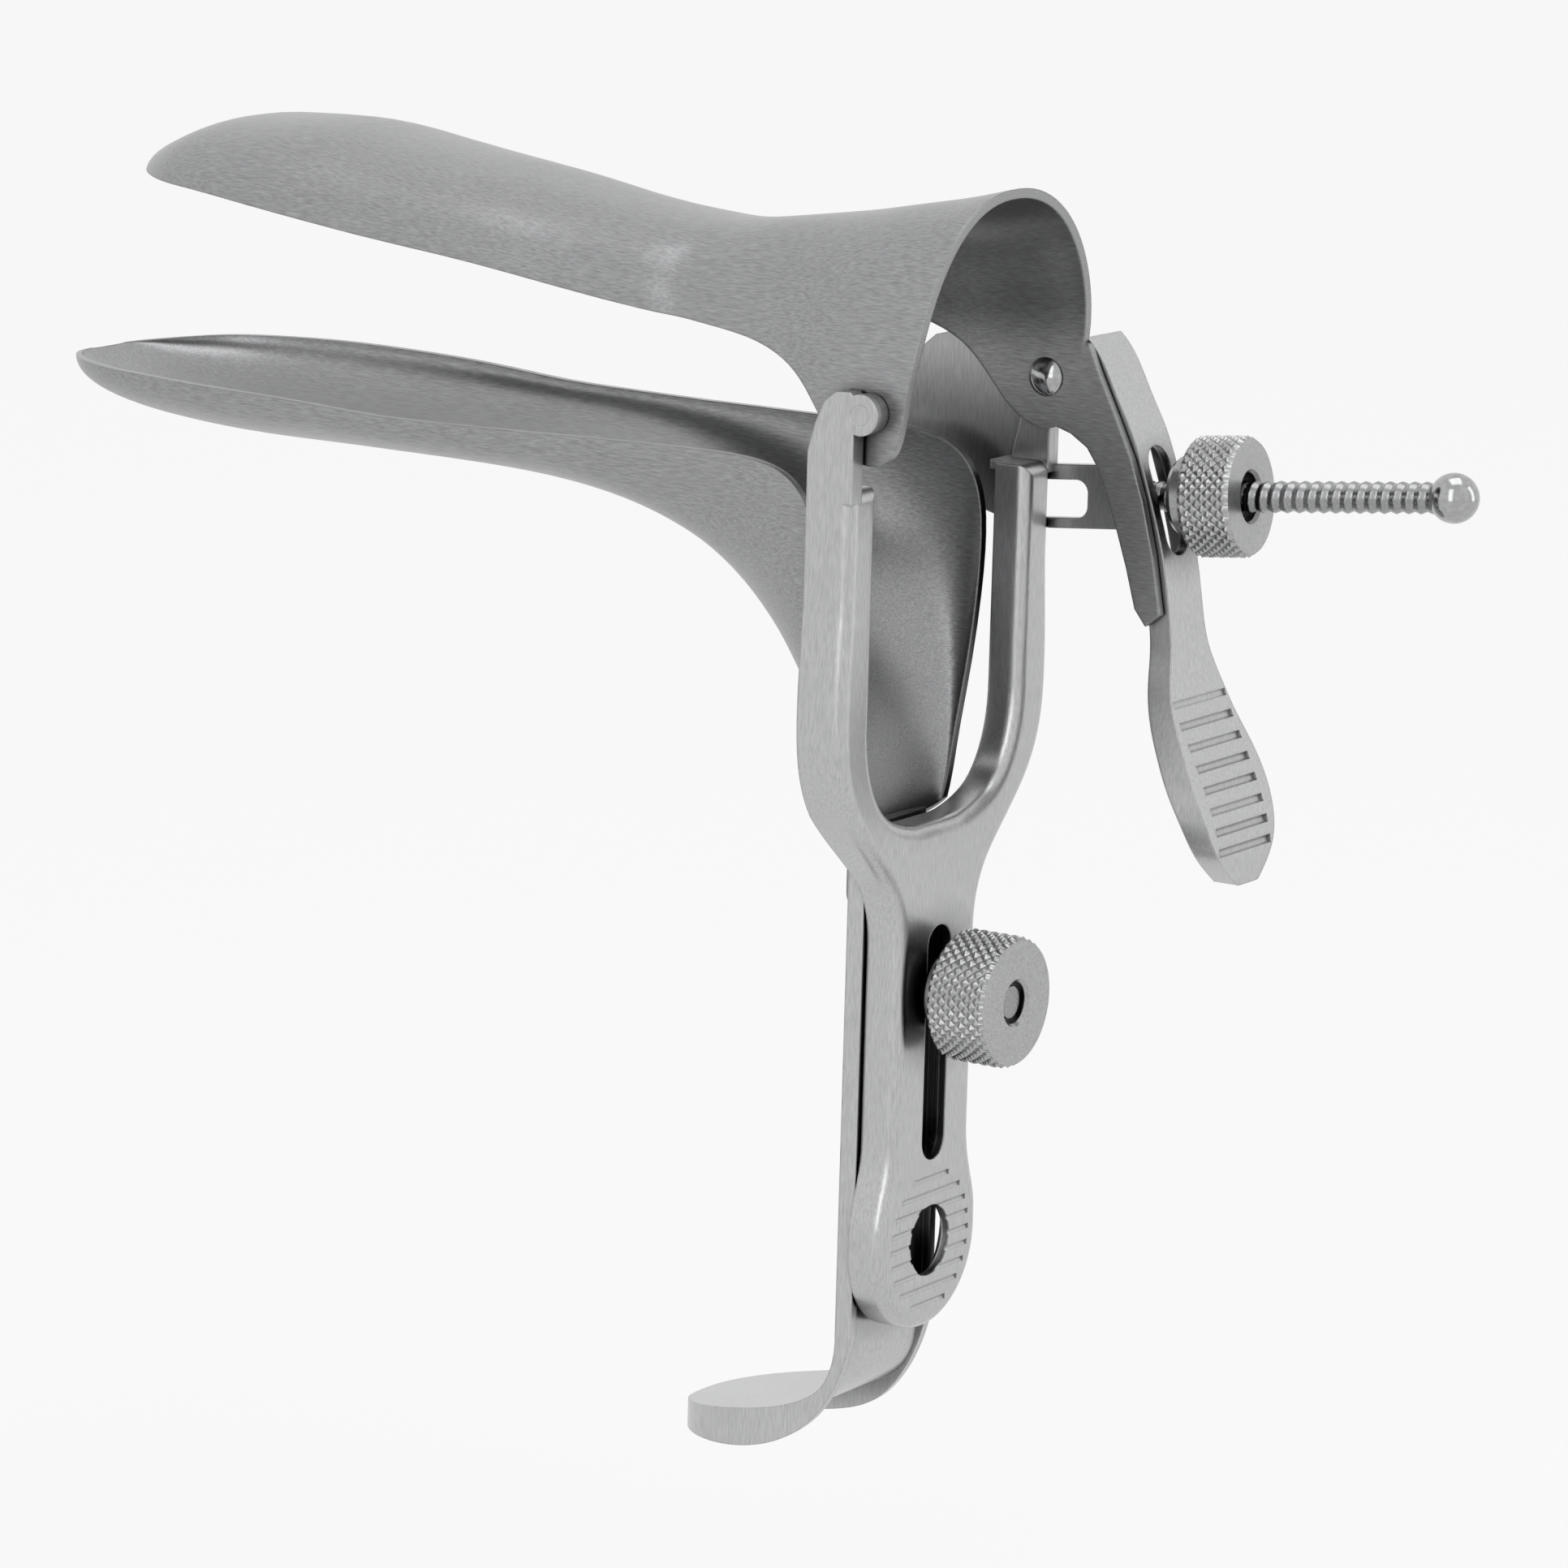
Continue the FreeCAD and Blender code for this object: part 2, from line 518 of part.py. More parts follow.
def make_bracket():
    x0 = ARM_OUT_TOP
    x1 = x0 + BRACKET_T
    rise = math.tan(ROD_PITCH)

    def tilted(y, z):
        return (y, z - y * rise)

    rear_y = WEB_Y + 0.2
    front_y = WEB_Y + ARM_DEPTH
    plate = poly_prism([tilted(TONGUE_END_Y, TONGUE_TOP_Z - 0.4),
                        tilted(TONGUE_END_Y + 0.4, TONGUE_TOP_Z),
                        tilted(rear_y, TONGUE_TOP_Z), (rear_y, 3.0), (2.4, 4.2),
                        (14.0, 4.2), (18.5, 3.0), (22.0, 0.0),
                        (BRACKET_FRONT_Y, -5.0), (22.5, -10.5), (17.0, -15.0),
                        (11.0, -18.2), (front_y - 1.0, TONGUE_BOTTOM_Z),
                        tilted(rear_y, TONGUE_BOTTOM_Z),
                        tilted(TONGUE_END_Y + 0.4, TONGUE_BOTTOM_Z),
                        tilted(TONGUE_END_Y, TONGUE_BOTTOM_Z + 0.4)], x0, x1)
    plate = plate.fuse(x_cylinder(LUG_R, x0, x1))
    window = poly_prism([tilted(WINDOW_FRONT_Y, WINDOW_TOP_Z),
                         tilted(WINDOW_REAR_Y, WINDOW_TOP_Z),
                         tilted(WINDOW_REAR_Y, WINDOW_BOTTOM_Z),
                         tilted(WINDOW_FRONT_Y, WINDOW_BOTTOM_Z)], x0 - 1, x1 + 1)
    window = window.makeFillet(WINDOW_CORNER_R, [e for e in window.Edges
                                                 if e.BoundBox.XLength > BRACKET_T
                                                 and e.BoundBox.YMax < WINDOW_REAR_Y + 0.1])
    plate = plate.cut(window).cut(x_cylinder(RIVET_R, 20, 30))
    plate = plate.cut(x_cylinder(BRACKET_RIVET_R, 20, 30, BRACKET_RIVET_Y, BRACKET_RIVET_Z))
    return plate.removeSplitter()


def rod_frame():
    start = V(ARM_OUT_TOP + BRACKET_T / 2.0, ROD_START_Y, ROD_Z)
    aim = V(math.sin(ROD_YAW) * math.cos(ROD_PITCH), -math.cos(ROD_YAW) * math.cos(ROD_PITCH),
            math.sin(ROD_PITCH))
    return start, aim


def at(start, aim, distance):
    return V(start.x + aim.x * distance, start.y + aim.y * distance, start.z + aim.z * distance)


def make_rod():
    start, aim = rod_frame()
    rod = Part.makeCylinder(ROD_R, ROD_LENGTH, start, aim)
    slit = Part.makeBox(BRACKET_T, 8.0, 12.0, V(ARM_OUT_TOP, TONGUE_END_Y, ROD_Z - 6.0))
    return rod.cut(slit)


def make_ball():
    start, aim = rod_frame()
    centre = at(start, aim, ROD_LENGTH + BALL_R - 0.9)
    ball = Part.makeSphere(BALL_R, centre)
    return ball.cut(Part.makeCylinder(ROD_R, ROD_LENGTH, start, aim))


def knurled_nut(seat, aim, hub_r, hub_h, body_r, body_h, bore, mouth_r, mouth_h):
    """Nut of revolution: domed hub at the seat, knurled body, relief round the bore."""
    pts = [(bore, 0.0), (hub_r * 0.55, 0.0), (hub_r - 0.5, 0.35), (hub_r, 1.0), (hub_r, hub_h),
           (body_r - NUT_EDGE, hub_h), (body_r, hub_h + NUT_EDGE),
           (body_r, hub_h + body_h - NUT_EDGE), (body_r - NUT_EDGE, hub_h + body_h),
           (mouth_r + 0.4, hub_h + body_h), (mouth_r, hub_h + body_h - 0.4),
           (mouth_r, hub_h + body_h - mouth_h), (bore, hub_h + body_h - mouth_h)]
    wire = Part.makePolygon([V(r, 0, h) for r, h in pts + pts[:1]])
    nut = Part.Face(wire).revolve(V(0, 0, 0), V(0, 0, 1), 360)
    nut.Placement = FreeCAD.Placement(seat, FreeCAD.Rotation(V(0, 0, 1), aim))
    return nut


def make_side_nut():
    start, aim = rod_frame()
    seat = at(start, aim, SIDE_NUT_AT)
    return knurled_nut(seat, aim, SIDE_HUB_R, SIDE_HUB_H, SIDE_NUT_R, SIDE_NUT_H,
                       ROD_R + NUT_BORE_FIT, ROD_R + 1.0, 1.5)


def make_stem_nut():
    return knurled_nut(V(0, WEB_Y - NUT_SEAT, STUD_Z), V(0, -1, 0), STEM_HUB_R, STEM_HUB_H,
                       STEM_NUT_R, STEM_NUT_H, STUD_R + NUT_BORE_FIT, STUD_R + 0.6,
                       STUD_RECESS + 0.4)


def make_stud():
    face = WEB_Y - NUT_SEAT - STEM_HUB_H - STEM_NUT_H + STUD_RECESS
    back = BAR_BACK_Y
    stud = Part.makeCylinder(STUD_R, back - face, V(0, face, STUD_Z), V(0, 1, 0))
    head = Part.makeCylinder(STUD_R + 1.6, 1.0, V(0, back, STUD_Z), V(0, 1, 0))
    head = head.makeFillet(0.5, [e for e in head.Edges
                                 if abs(e.BoundBox.YMin - back - 1.0) < 1e-6])
    return stud.fuse(head).removeSplitter()


def make_lower_blade():
    # half width, rim (y, z), crown (y, z)
    stations = [
        (4.6, (131.5, -7.6), (131.5, -8.9)),
        (7.6, (130.4, -7.5), (130.4, -9.6)),
        (11.0, (128.0, -7.3), (128.0, -10.8)),
        (15.2, (123.8, -7.0), (123.8, -12.2)),
        (18.8, (117.3, -6.9), (117.3, -13.5)),
        (21.2, (108.4, -6.9), (108.4, -14.4)),
        (22.2, (98.0, -7.1), (98.0, -14.9)),
        (21.9, (85.0, -7.5), (85.0, -14.9)),
        (21.0, (72.0, -8.2), (72.0, -14.9)),
        (19.9, (60.0, -8.2), (60.0, -15.2)),
        (18.9, (50.0, -8.1), (50.0, -16.1)),
        (18.1, (41.0, -7.9), (41.5, -17.9)),
        (17.6, (33.0, -7.8), (36.0, -20.0)),
        (17.5, (26.0, -7.7), (31.3, -22.5)),
        (17.9, (20.0, -7.8), (27.2, -25.5)),
        (18.6, (14.8, -8.6), (23.8, -28.6)),
        (19.2, (11.0, -10.8), (20.6, -32.0)),
        (19.3, (8.6, -14.8), (17.8, -35.6)),
        (18.7, (7.5, -20.6), (15.3, -39.4)),
        (17.3, (7.1, -28.3), (13.1, -43.2)),
        (15.2, (7.0, -37.0), (11.4, -46.9)),
        (13.2, (7.2, -45.2), (10.3, -50.6)),
        (11.4, (7.4, -52.6), (9.6, -55.2)),
    ]
    wires = [trough_section(w, rim, crown, BLADE_T) for w, rim, crown in stations]
    shell = Part.makeLoft(wires, True, False)
    shell = shell.cut(Part.makeBox(2 * BAR_HALF, BAR_BACK_Y + 20, 30,
                                   V(-BAR_HALF, -20, BAR_TOP_Z - 30.0)))
    tail = Part.makeBox(2 * TAIL_HALF, BLADE_T, TAIL_TOP_Z - TAIL_BOTTOM_Z,
                        V(-TAIL_HALF, BAR_BACK_Y, TAIL_BOTTOM_Z))
    tail = tail.makeFillet(2.5, [e for e in tail.Edges if e.BoundBox.YLength > BLADE_T - 0.01
                                 and e.BoundBox.ZMax < TAIL_BOTTOM_Z + 0.1])
    blade = shell.fuse(tail)
    blade = blade.cut(Part.makeCylinder(BAR_RIVET_R, 20, V(0, 0, BAR_RIVET_Z), V(0, 1, 0)))
    return blade.removeSplitter()


TOE_TOP = [(BAR_BACK_Y, TOE_START_Z), (8.7, -121.4), (10.4, -124.8), (14.0, -127.1),
           (20.0, -128.7), (27.0, -130.0), (34.4, -131.4)]
TOE_RIM = [(34.4, -134.6), (27.0, -134.4), (20.2, -133.6), (14.7, -131.6), (11.4, -129.0),
           (9.0, -125.8), (7.2, -122.0)]


def bar_side(inset, x0, x1):
    rim_y = WEB_Y + STEM_DEPTH + BAR_FLANGE_GAP
    back = BAR_BACK_Y - inset
    top = BAR_TOP_Z
    if inset > 0:
        path = []
        for k, p in enumerate(TOE_TOP):
            a = TOE_TOP[max(k - 1, 0)]
            b = TOE_TOP[min(k + 1, len(TOE_TOP) - 1)]
            tx, tz = b[0] - a[0], b[1] - a[1]
            if k == 0:
                tx, tz = 0.0, -1.0
            length = math.hypot(tx, tz)
            path.append(V(x0, p[0] + tz / length * inset, p[1] - tx / length * inset))
        end = path[-1]
        edges = [
            Part.makeLine(V(x0, back, top + 5), path[0]),
            spline(path),
            Part.makeLine(end, V(x0, end.y, -140)),
            Part.makeLine(V(x0, end.y, -140), V(x0, -5, -140)),
            Part.makeLine(V(x0, -5, -140), V(x0, -5, top + 5)),
            Part.makeLine(V(x0, -5, top + 5), V(x0, back, top + 5)),
        ]
    else:
        path = [V(x0, y, z) for y, z in TOE_TOP]
        rim = [V(x0, y, z) for y, z in TOE_RIM] + [V(x0, rim_y, TOE_START_Z)]
        edges = [
            Part.makeLine(V(x0, back, top), path[0]),
            spline(path),
            Part.makeLine(path[-1], rim[0]),
            spline(rim),
            Part.makeLine(rim[-1], V(x0, rim_y, top)),
            Part.makeLine(V(x0, rim_y, top), V(x0, back, top)),
        ]
    wire = Part.Wire(Part.__sortEdges__(edges))
    return Part.Face(wire).extrude(V(x1 - x0, 0, 0))


def bar_plan(inset):
    """Plan outline of the bar and toe as an upright prism."""
    half = BAR_HALF - inset
    toe = TOE_HALF - inset
    tip = TOE_REACH - inset
    z0 = -145.0
    edges = [Part.makeLine(V(half, -8, z0), V(-half, -8, z0))]
    for s in (1.0, -1.0):
        edges.append(Part.makeLine(V(s * half, -8, z0), V(s * half, 9.0, z0)))
        c = Part.BSplineCurve()
        pts = [(half, 9.0), (half + 0.5, 13.0), (toe - 0.1, 18.0), (toe - 0.5, 24.0),
               (toe - 2.9, 30.0), (toe * 0.42, tip - 0.9), (0.0, tip)]
        c.interpolate([V(s * x, y, z0) for x, y in pts],
                      InitialTangent=V(0, 1, 0), FinalTangent=V(-s, 0, 0))
        edges.append(c.toShape())
    wire = Part.Wire(Part.__sortEdges__(edges))
    return Part.Face(wire).extrude(V(0, 0, 120))


def make_bar():
    outer = bar_side(0.0, -15, 15).common(bar_plan(0.0))
    inner = bar_side(BAR_T, -15, 15).common(bar_plan(BAR_T))
    bar = outer.cut(inner)
    bar = bar.cut(Part.makeCylinder(BAR_HOLE_R, 10, V(0, 2, FINGER_Z), V(0, 1, 0)))
    bar = bar.cut(Part.makeCylinder(STUD_R, 10, V(0, 2, STUD_Z), V(0, 1, 0)))
    bar = bar.cut(Part.makeCylinder(BAR_RIVET_R, 10, V(0, 2, BAR_RIVET_Z), V(0, 1, 0)))
    return bar.removeSplitter()


def make_bar_rivet():
    front = BAR_BACK_Y - BAR_T
    back = BAR_BACK_Y + BLADE_T
    shank = Part.makeCylinder(BAR_RIVET_R, back - front, V(0, front, BAR_RIVET_Z), V(0, 1, 0))
    for y, way in ((front, -1), (back, 1)):
        head = Part.makeCylinder(BAR_RIVET_R + 0.9, 0.5, V(0, y, BAR_RIVET_Z), V(0, way, 0))
        far = y + way * 0.5
        head = head.makeFillet(0.3, [e for e in head.Edges
                                     if abs(e.BoundBox.YMin - far) < 1e-6
                                     and abs(e.BoundBox.YMax - far) < 1e-6])
        shank = shank.fuse(head)
    return shank.removeSplitter()


def make_bracket_rivet():
    x0 = ARM_OUT_TOP - LUG_T
    x1 = ARM_OUT_TOP + BRACKET_T
    y = BRACKET_RIVET_Y
    z = BRACKET_RIVET_Z
    shank = x_cylinder(BRACKET_RIVET_R, x0, x1, y, z)
    head = x_cylinder(BRACKET_RIVET_HEAD_R, x1, x1 + BRACKET_RIVET_HEAD_H, y, z)
    tail = x_cylinder(BRACKET_RIVET_TAIL_R, x0 - BRACKET_RIVET_TAIL_H, x0, y, z)
    return shank.fuse(head).fuse(tail).removeSplitter()


def build():
    ear_in = EAR_OUT - BLADE_T
    return {
        "yoke": make_yoke(),
        "upper_blade": make_upper_blade(),
        "thumb_lever": make_thumb_lever(),
        "pivot_rivet_left": rivet(-1.0, ear_in - COLLAR_GAP, ARM_OUT_TOP,
                                  EAR_OUT + COLLAR_GAP, 0.0),
        "pivot_rivet_right": rivet(1.0, ear_in - COLLAR_GAP, ARM_OUT_TOP + BRACKET_T,
                                   0.0, RIVET_TAIL_H),
        "screw_bracket": make_bracket(),
        "bracket_rivet": make_bracket_rivet(),
        "side_screw": make_rod(),
        "screw_ball": make_ball(),
        "side_nut": make_side_nut(),
        "lower_blade": make_lower_blade(),
        "slide_bar": make_bar(),
        "bar_rivet": make_bar_rivet(),
        "stem_stud": make_stud(),
        "stem_nut": make_stem_nut(),
    }


os.makedirs("parts", exist_ok=True)
for node, shape in build().items():
    shape.translate(V(0, -WEB_Y, -FINGER_Z))
    shape.exportStep("parts/" + node + ".step")
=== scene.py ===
import json
import math

import bmesh
import bpy
from mathutils import Matrix, Vector


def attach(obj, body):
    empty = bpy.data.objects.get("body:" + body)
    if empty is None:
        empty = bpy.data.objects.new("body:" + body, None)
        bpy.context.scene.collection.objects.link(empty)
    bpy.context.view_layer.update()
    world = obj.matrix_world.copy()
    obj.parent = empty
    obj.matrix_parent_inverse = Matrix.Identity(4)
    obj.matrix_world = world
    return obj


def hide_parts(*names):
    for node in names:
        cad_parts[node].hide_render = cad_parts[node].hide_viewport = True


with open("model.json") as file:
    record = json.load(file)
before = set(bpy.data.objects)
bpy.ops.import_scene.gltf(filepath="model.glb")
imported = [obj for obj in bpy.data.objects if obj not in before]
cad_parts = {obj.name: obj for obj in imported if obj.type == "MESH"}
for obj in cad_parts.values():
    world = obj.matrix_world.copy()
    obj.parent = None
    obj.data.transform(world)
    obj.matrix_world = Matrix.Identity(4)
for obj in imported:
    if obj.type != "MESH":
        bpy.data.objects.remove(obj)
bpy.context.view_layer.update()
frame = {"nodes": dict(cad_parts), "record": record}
nodes = frame["nodes"]
slot_of = {row["node"]: row["material_slot"] for row in frame["record"]["subparts"]}

# Lengths of the pieces are in millimetres, as in the solids, and become metres by MM.
MM = 0.001
HINGE = Vector((0.0, -0.8, 106.0))
SMOOTH_ANGLE = math.radians(32.0)

# rod, at the same place as the solid one
ROD_YAW = math.radians(6.0)
ROD_PITCH = math.radians(5.4)
ROD_AIM = Vector((math.sin(ROD_YAW) * math.cos(ROD_PITCH),
                  -math.cos(ROD_YAW) * math.cos(ROD_PITCH),
                  math.sin(ROD_PITCH)))
ROD_START = HINGE + Vector((23.75, -8.2, -14.5))
ROD_LENGTH = 42.5
ROD_R = 2.0

# thread, cut below the rod's radius
THREAD_START = 3.6
THREAD_PITCH = 1.6
THREAD_DEPTH = 0.32
THREAD_END_MARGIN = 0.3
THREAD_RINGS_PER_TURN = 10
THREAD_SIDES = 40

# slit in the rod's end, which takes the bracket's tongue
SLIT_CORNER = HINGE + Vector((23.1, -10.7, -20.5))
SLIT_SIZE = Vector((1.3, 8.0, 12.0))

# nuts
SIDE_NUT_SEAT = 8.2
STEM_NUT_SEAT = Vector((0.0, 0.5, -74.1))
NUT_EDGE = 0.5
NUT_FACE_SHARE = 0.55
HUB_ROUND = ((0.5, 0.35), (0.0, 1.0))
MOUTH_BEVEL = 0.4
KNURL_STEPS = 8
KNURL_ROWS = 44


def grey(value):
    """Faintly cool grey, as stainless steel is."""
    return (value, value + 0.002, value + 0.006, 1.0)


def node_tree(name):
    material = bpy.data.materials.new(name)
    material.use_nodes = True
    tree = material.node_tree
    return material, tree, tree.nodes["Principled BSDF"]


def steel(name, dark, light, gloss_range, stretch, grain, grain_scale, edge):
    """Worked stainless steel: drawn-out grain in tone and relief, painted shade in recesses,
    uneven gloss, soft edges.
    """
    material, tree, shader = node_tree(name)
    new = tree.nodes.new
    link = tree.links.new

    # fine grain along the way the piece was worked, and broad patches
    coords = new("ShaderNodeTexCoord")
    mapping = new("ShaderNodeMapping")
    mapping.inputs["Scale"].default_value = stretch
    link(coords.outputs["Object"], mapping.inputs["Vector"])
    fine = new("ShaderNodeTexNoise")
    fine.inputs["Scale"].default_value = grain_scale
    fine.inputs["Detail"].default_value = 5.0
    link(mapping.outputs["Vector"], fine.inputs["Vector"])
    broad = new("ShaderNodeTexNoise")
    broad.inputs["Scale"].default_value = 55.0
    broad.inputs["Detail"].default_value = 2.0
    link(coords.outputs["Object"], broad.inputs["Vector"])

    # tone of the grain, with painted shade darkening it in recesses
    tone = new("ShaderNodeValToRGB")
    tone.color_ramp.elements[0].position = 0.3
    tone.color_ramp.elements[1].position = 0.7
    tone.color_ramp.elements[0].color = grey(dark)
    tone.color_ramp.elements[1].color = grey(light)
    link(fine.outputs["Fac"], tone.inputs["Fac"])
    painted_shade_ao = new("ShaderNodeAmbientOcclusion")
    painted_shade_ao.samples = 8
    painted_shade_ao.inputs["Distance"].default_value = 0.008
    shade = new("ShaderNodeMapRange")
    shade.inputs["From Min"].default_value = 0.25
    shade.inputs["From Max"].default_value = 0.85
    shade.inputs["To Min"].default_value = 0.18
    link(painted_shade_ao.outputs["AO"], shade.inputs["Value"])
    mixed = new("ShaderNodeMix")
    mixed.data_type = "RGBA"
    mixed.blend_type = "MULTIPLY"
    mixed.inputs[0].default_value = 1.0
    link(tone.outputs["Color"], mixed.inputs[6])
    link(shade.outputs["Result"], mixed.inputs[7])
    link(mixed.outputs[2], shader.inputs["Base Color"])

    gloss = new("ShaderNodeMapRange")
    gloss.inputs["To Min"].default_value = gloss_range[0]
    gloss.inputs["To Max"].default_value = gloss_range[1]
    link(broad.outputs["Fac"], gloss.inputs["Value"])
    link(gloss.outputs["Result"], shader.inputs["Roughness"])

    # rounded edges with the grain's relief on top
    corner = new("ShaderNodeBevel")
    corner.samples = 4
    corner.inputs["Radius"].default_value = edge
    bump = new("ShaderNodeBump")
    bump.inputs["Strength"].default_value = grain
    bump.inputs["Distance"].default_value = 0.00004
    link(fine.outputs["Fac"], bump.inputs["Height"])
    link(corner.outputs["Normal"], bump.inputs["Normal"])
    link(bump.outputs["Normal"], shader.inputs["Normal"])
    shader.inputs["Metallic"].default_value = 1.0
    return material


# The base colours, the blades' and the screw's most of all, are darker than real steel: painted
# shade standing in for the dark surroundings that metal reflects, since glossy rays here see
# only the white background.
FRAME_LOOK = dict(dark=0.42, light=0.55, gloss_range=(0.22, 0.34), stretch=(6.0, 6.0, 0.6),
                  grain=0.24, grain_scale=900.0)
MATERIALS = {
    "blade_steel": steel("blade_steel", dark=0.25, light=0.38, gloss_range=(0.3, 0.4),
                         stretch=(6.0, 0.6, 6.0), grain=0.34, grain_scale=900.0, edge=0.0004),
    "frame_steel": steel("frame_steel", edge=0.0004, **FRAME_LOOK),
    "nut_steel": steel("nut_steel", dark=0.34, light=0.46, gloss_range=(0.22, 0.32),
                       stretch=(3.0, 3.0, 3.0), grain=0.18, grain_scale=1100.0, edge=0.0001),
    "screw_steel": steel("screw_steel", dark=0.26, light=0.36, gloss_range=(0.18, 0.28),
                         stretch=(3.0, 3.0, 3.0), grain=0.12, grain_scale=1100.0, edge=0.00008),
    "polished_steel": steel("polished_steel", dark=0.34, light=0.44, gloss_range=(0.07, 0.14),
                            stretch=(2.0, 2.0, 2.0), grain=0.05, grain_scale=700.0,
                            edge=0.0002),
}
# the flush rivet keeps an almost sharp edge, so that its seam in the arm stays thin
FLUSH_RIVET = steel("flush_rivet", edge=0.00002, **FRAME_LOOK)


def smooth(obj):
    obj.data.shade_smooth()
    obj.data.set_sharp_from_angle(angle=SMOOTH_ANGLE)


for name, obj in nodes.items():
    obj.data.materials.clear()
    flush = name == "pivot_rivet_left"
    obj.data.materials.append(FLUSH_RIVET if flush else MATERIALS[slot_of[name]])
    smooth(obj)


def mesh_object(name, verts, faces, material, body, node):
    """Closed mesh with its faces turned outward, in place of a node's solid."""
    mesh = bpy.data.meshes.new(name)
    mesh.from_pydata([tuple(v) for v in verts], [], faces)
    mesh.validate()
    mesh.update()
    mesh.materials.append(material)
    work = bmesh.new()
    work.from_mesh(mesh)
    bmesh.ops.recalc_face_normals(work, faces=work.faces)
    work.to_mesh(mesh)
    work.free()
    obj = bpy.data.objects.new(name, mesh)
    bpy.context.scene.collection.objects.link(obj)
    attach(obj, body)
    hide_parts(node)
    return obj


def across(aim):
    """Two directions across aim."""
    side = aim.cross(Vector((0.0, 0.0, 1.0))).normalized()
    return side, side.cross(aim).normalized()


def round_points(start, aim, height, radius, count):
    """Points round aim at a height, with radius as a function of the angle."""
    side, up = across(aim)
    points = []
    for k in range(count):
        angle = 2.0 * math.pi * k / count
        outward = side * math.cos(angle) + up * math.sin(angle)
        points.append((start + aim * height + outward * radius(angle)) * MM)
    return points


def band_faces(ring, next_ring, count):
    """Quads between two rings of points."""
    faces = []
    for k in range(count):
        m = (k + 1) % count
        faces.append((ring * count + k, ring * count + m,
                      next_ring * count + m, next_ring * count + k))
    return faces


def fixed(value):
    return lambda angle: value


def ridge(turns):
    """Triangle wave from 0 in the groove to 1 on the crest."""
    return 1.0 - abs(2.0 * (turns % 1.0) - 1.0)


def knurled_nut(name, start, aim, hub_r, hub_h, body_r, body_h, bore, mouth_r, mouth_h,
                teeth, depth, body, node):
    """Hub, knurled band and relieved face, with crossing grooves cut into the band."""
    top = hub_h + body_h
    low = hub_h + NUT_EDGE
    high = top - NUT_EDGE
    cell = 2.0 * math.pi * body_r / teeth

    def knurl(along):
        def radius(angle):
            around = angle * teeth / (2.0 * math.pi)
            crest = min(ridge(around + along), ridge(around - along))
            return body_r - depth * (1.0 - crest)
        return radius

    rings = [(fixed(bore), 0.0), (fixed(hub_r * NUT_FACE_SHARE), 0.0)]
    rings += [(fixed(hub_r - inset), height) for inset, height in HUB_ROUND]
    rings += [(fixed(hub_r), hub_h), (fixed(body_r - NUT_EDGE), hub_h)]
    for k in range(KNURL_ROWS + 1):
        height = low + (high - low) * k / KNURL_ROWS
        rings.append((knurl((height - low) / cell), height))
    rings += [(fixed(body_r - NUT_EDGE), top), (fixed(mouth_r + MOUTH_BEVEL), top),
              (fixed(mouth_r), top - MOUTH_BEVEL), (fixed(mouth_r), top - mouth_h),
              (fixed(bore), top - mouth_h)]

    count = teeth * KNURL_STEPS
    verts = []
    faces = []
    for k, (radius, height) in enumerate(rings):
        verts += round_points(start, aim, height, radius, count)
        faces += band_faces(k, (k + 1) % len(rings), count)
    smooth(mesh_object(name, verts, faces, MATERIALS["nut_steel"], body, node))


def threaded_rod():
    """Rod with a helical thread and a slit for the bracket's tongue."""
    thread_length = ROD_LENGTH - THREAD_START
    steps = int(thread_length / THREAD_PITCH * THREAD_RINGS_PER_TURN)
    heights = [0.0] + [THREAD_START + thread_length * k / steps for k in range(steps + 1)]

    def thread(height):
        if not THREAD_START < height < ROD_LENGTH - THREAD_END_MARGIN:
            return fixed(ROD_R)

        def radius(angle):
            crest = ridge(height / THREAD_PITCH - angle / (2.0 * math.pi))
            return ROD_R - THREAD_DEPTH * (1.0 - crest)
        return radius

    verts = []
    faces = []
    for k, height in enumerate(heights):
        verts += round_points(ROD_START, ROD_AIM, height, thread(height), THREAD_SIDES)
        if k + 1 < len(heights):
            faces += band_faces(k, k + 1, THREAD_SIDES)
    faces.append(tuple(range(THREAD_SIDES)))
    faces.append(tuple(range(len(verts) - THREAD_SIDES, len(verts))))
    rod = mesh_object("side_screw_threaded", verts, faces, MATERIALS["screw_steel"],
                      "frame", "side_screw")
    cut_slit(rod)
    smooth(rod)


def cut_slit(rod):
    bpy.ops.mesh.primitive_cube_add(size=1.0)
    cutter = bpy.context.active_object
    cutter.scale = SLIT_SIZE * MM
    cutter.location = (SLIT_CORNER + SLIT_SIZE * 0.5) * MM
    bpy.context.view_layer.update()
    slit = rod.modifiers.new("slit", "BOOLEAN")
    slit.operation = "DIFFERENCE"
    slit.solver = "EXACT"
    slit.object = cutter
    graph = bpy.context.evaluated_depsgraph_get()
    shaped = bpy.data.meshes.new_from_object(rod.evaluated_get(graph))
    rod.modifiers.clear()
    rod.data = shaped
    bpy.data.objects.remove(cutter)


knurled_nut("side_nut_knurled", ROD_START + ROD_AIM * SIDE_NUT_SEAT, ROD_AIM,
            hub_r=5.0, hub_h=3.0, body_r=7.55, body_h=6.8, bore=ROD_R + 0.08,
            mouth_r=ROD_R + 1.0, mouth_h=1.5, teeth=34, depth=0.45,
            body="side_nut_body", node="side_nut")
knurled_nut("stem_nut_knurled", HINGE + STEM_NUT_SEAT, Vector((0.0, -1.0, 0.0)),
            hub_r=5.2, hub_h=3.0, body_r=8.25, body_h=8.0, bore=2.08,
            mouth_r=2.6, mouth_h=1.2, teeth=36, depth=0.48,
            body="stem_nut_body", node="stem_nut")
threaded_rod()


